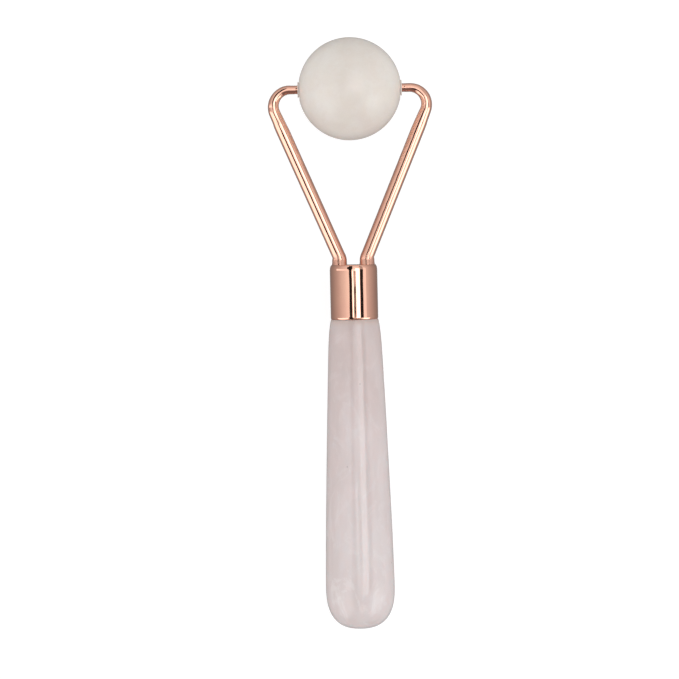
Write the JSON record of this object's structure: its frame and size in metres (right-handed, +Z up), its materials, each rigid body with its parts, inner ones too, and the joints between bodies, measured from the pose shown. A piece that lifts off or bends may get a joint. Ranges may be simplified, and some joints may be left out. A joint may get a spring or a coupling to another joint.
{
  "type": "face roller",
  "caption": "Hand-held face roller: a smooth stone ball spins between the arms of a slim metal fork, on a tapered rose quartz handle with a round end.",
  "frame": {"origin": "on the table, under the middle of the whole roller as it lies flat", "axes": "+Z up from the table, +Y along the roller towards the ball, X along the axle"},
  "size_m": [0.0398, 0.1432, 0.0249],
  "materials": {
    "ball_stone": "polished",
    "rose_quartz": "polished",
    "rose_gold": "polished",
    "bush_nylon": "satin",
    "braze": "satin",
    "tang_steel": "satin",
    "adhesive": "gloss"
  },
  "bodies": {
    "grip": {"handle": "rose_quartz", "ferrule": "rose_gold", "fork_root": "braze", "tang": "tang_steel", "ferrule_adhesive": "adhesive", "tang_adhesive": "adhesive", "arm_left": "rose_gold", "arm_right": "rose_gold"},
    "roller": {"roller_ball": "ball_stone", "bush_left": "bush_nylon", "bush_right": "bush_nylon"}
  },
  "joints": [
    {"name": "ball_spin", "type": "hinge", "parent": "grip", "child": "roller", "pos_m": [0, 0.05919, 0.01245], "axis": [1, 0, 0], "continuous": true}
  ]
}
